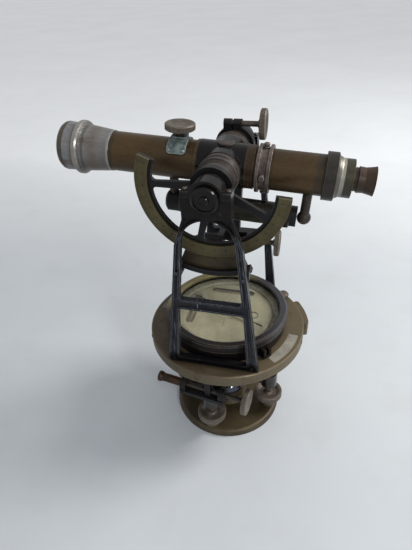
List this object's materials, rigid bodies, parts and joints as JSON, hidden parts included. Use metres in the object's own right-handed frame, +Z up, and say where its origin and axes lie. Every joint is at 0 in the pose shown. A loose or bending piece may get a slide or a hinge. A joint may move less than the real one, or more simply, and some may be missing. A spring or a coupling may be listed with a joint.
{
  "type": "surveying transit",
  "caption": "Surveyor's transit: focusing telescope with level and vertical arc on A-shaped standards over a sunk compass, graduated plates and a levelling head.",
  "frame": {"origin": "centre of the foot plate's underside, at the mouth of its tripod thread", "axes": "+X along the telescope towards its eyepiece, +Y from the vertical arc to the axis clamp, +Z up the centres"},
  "size_m": [0.2663, 0.16, 0.325],
  "materials": {
    "black_lacquer": "worn gloss",
    "bronzed_brass": "dull bronzed",
    "tarnished_brass": "tarnished",
    "nickel": "dull nickel plate on brass",
    "silvered": "silvered",
    "clear_glass": "polished",
    "needle_steel": "blued"
  },
  "bodies": {
    "base": {"foot_plate": "bronzed_brass", "half_ball": "black_lacquer", "levelling_shoes": "bronzed_brass", "levelling_head": "black_lacquer", "lower_tangent_bracket": "black_lacquer", "lower_spring_box": "bronzed_brass", "lower_plunger": "tarnished_brass", "lower_clamp_collar": "black_lacquer"},
    "levelling_screw_1": {"levelling_screw_1": "tarnished_brass"},
    "levelling_screw_2": {"levelling_screw_2": "tarnished_brass"},
    "levelling_screw_3": {"levelling_screw_3": "tarnished_brass"},
    "levelling_screw_4": {"levelling_screw_4": "tarnished_brass"},
    "lower_clamp_screw": {"lower_clamp_screw": "tarnished_brass"},
    "lower_tangent_screw": {"lower_tangent_screw": "tarnished_brass"},
    "limb": {"outer_centre": "bronzed_brass", "limb_plate": "bronzed_brass", "limb_scale": "silvered"},
    "alidade": {"inner_centre": "bronzed_brass", "vernier_plate": "bronzed_brass", "vernier_windows": "clear_glass", "vernier_scales": "silvered", "compass_box": "black_lacquer", "compass_face": "silvered", "plate_vials": "clear_glass", "compass_ring": "silvered", "compass_glass": "clear_glass", "compass_bezel": "bronzed_brass", "declination_clamp": "black_lacquer", "front_standard": "black_lacquer", "far_standard": "black_lacquer", "bearing_caps": "black_lacquer", "vertical_vernier": "bronzed_brass", "vernier_bracket": "black_lacquer", "axis_clamp_arm": "black_lacquer", "vertical_tangent_bracket": "black_lacquer", "upper_clamp": "black_lacquer"},
    "needle": {"compass_needle": "needle_steel"},
    "needle_lift_screw": {"needle_lift_screw": "tarnished_brass"},
    "upper_clamp_screw": {"upper_clamp_screw": "tarnished_brass"},
    "axis_clamp_screw": {"axis_clamp_screw": "tarnished_brass"},
    "vertical_tangent_screw": {"vertical_tangent_screw": "tarnished_brass"},
    "telescope": {"main_tube": "bronzed_brass", "axis_sleeve": "black_lacquer", "trunnions": "bronzed_brass", "axle_caps": "black_lacquer", "focus_mount": "nickel", "reticle_collar": "bronzed_brass", "eyepiece_flange": "bronzed_brass", "level_housing": "bronzed_brass", "level_glass": "clear_glass", "level_ends": "black_lacquer", "level_posts": "bronzed_brass", "arc_frame": "black_lacquer", "arc_scale": "bronzed_brass"},
    "objective": {"objective_slide": "tarnished_brass", "objective_head": "nickel", "objective_lens": "clear_glass"},
    "focus_knob": {"focus_knob": "tarnished_brass"},
    "eyepiece": {"eyepiece_tube": "tarnished_brass", "eyecup": "bronzed_brass"}
  },
  "joints": [
    {"name": "levelling_screw_1_turn", "type": "hinge", "parent": "base", "child": "levelling_screw_1", "pos_m": [0.0484, -0.00766, 0.03], "axis": [0, 0, 1], "continuous": true},
    {"name": "levelling_screw_2_turn", "type": "hinge", "parent": "base", "child": "levelling_screw_2", "pos_m": [0.00766, 0.0484, 0.03], "axis": [0, 0, 1], "continuous": true},
    {"name": "levelling_screw_3_turn", "type": "hinge", "parent": "base", "child": "levelling_screw_3", "pos_m": [-0.0484, 0.00766, 0.03], "axis": [0, 0, 1], "continuous": true},
    {"name": "levelling_screw_4_turn", "type": "hinge", "parent": "base", "child": "levelling_screw_4", "pos_m": [-0.00766, -0.0484, 0.03], "axis": [0, 0, 1], "continuous": true},
    {"name": "lower_tangent_screw_turn", "type": "hinge", "parent": "base", "child": "lower_tangent_screw", "pos_m": [-0.0086, -0.05432, 0.067], "axis": [0.9877, -0.1564, 0], "continuous": true},
    {"name": "lower_clamp_screw_turn", "type": "hinge", "parent": "base", "child": "lower_clamp_screw", "pos_m": [-0.02351, 0.03236, 0.0945], "axis": [-0.5878, 0.809, 0], "range_deg": [-20, 340]},
    {"name": "lower_motion", "type": "hinge", "parent": "base", "child": "limb", "pos_m": [0, 0, 0.09], "axis": [0, 0, 1], "continuous": true},
    {"name": "upper_motion", "type": "hinge", "parent": "limb", "child": "alidade", "pos_m": [0, 0, 0.11], "axis": [0, 0, 1], "continuous": true},
    {"name": "needle_swing", "type": "hinge", "parent": "alidade", "child": "needle", "pos_m": [0, 0, 0.1323], "axis": [0, 0, 1], "continuous": true},
    {"name": "needle_lift_turn", "type": "hinge", "parent": "alidade", "child": "needle_lift_screw", "pos_m": [0.05384, 0.04899, 0.12], "axis": [0, 0, 1], "range_deg": [-20, 340]},
    {"name": "upper_clamp_screw_turn", "type": "hinge", "parent": "alidade", "child": "upper_clamp_screw", "pos_m": [0.06861, 0.02772, 0.1], "axis": [0, 0, -1], "range_deg": [-20, 340]},
    {"name": "axis_clamp_screw_turn", "type": "hinge", "parent": "alidade", "child": "axis_clamp_screw", "pos_m": [0.01, 0.046, 0.3115], "axis": [1, 0, 0], "range_deg": [-20, 340]},
    {"name": "vertical_tangent_screw_turn", "type": "hinge", "parent": "alidade", "child": "vertical_tangent_screw", "pos_m": [0.02, 0.046, 0.191], "axis": [1, 0, 0], "continuous": true},
    {"name": "elevation", "type": "hinge", "parent": "alidade", "child": "telescope", "pos_m": [0, 0, 0.2918], "axis": [0, 1, 0], "continuous": true},
    {"name": "objective_focus", "type": "slide", "parent": "telescope", "child": "objective", "axis": [-0.9979, 0, 0.064], "range_m": [0, 0.025]},
    {"name": "focus_knob_turn", "type": "hinge", "parent": "telescope", "child": "focus_knob", "pos_m": [-0.03685, 0, 0.32182], "axis": [0.064, 0, 0.9979], "range_deg": [-5, 365]},
    {"name": "eyepiece_focus", "type": "slide", "parent": "telescope", "child": "eyepiece", "axis": [0.9979, 0, -0.064], "range_m": [-0.003, 0.004]}
  ],
  "couplings": [
    {"joint": "focus_knob_turn", "follows": "objective_focus", "rad_per_m": 250}
  ]
}
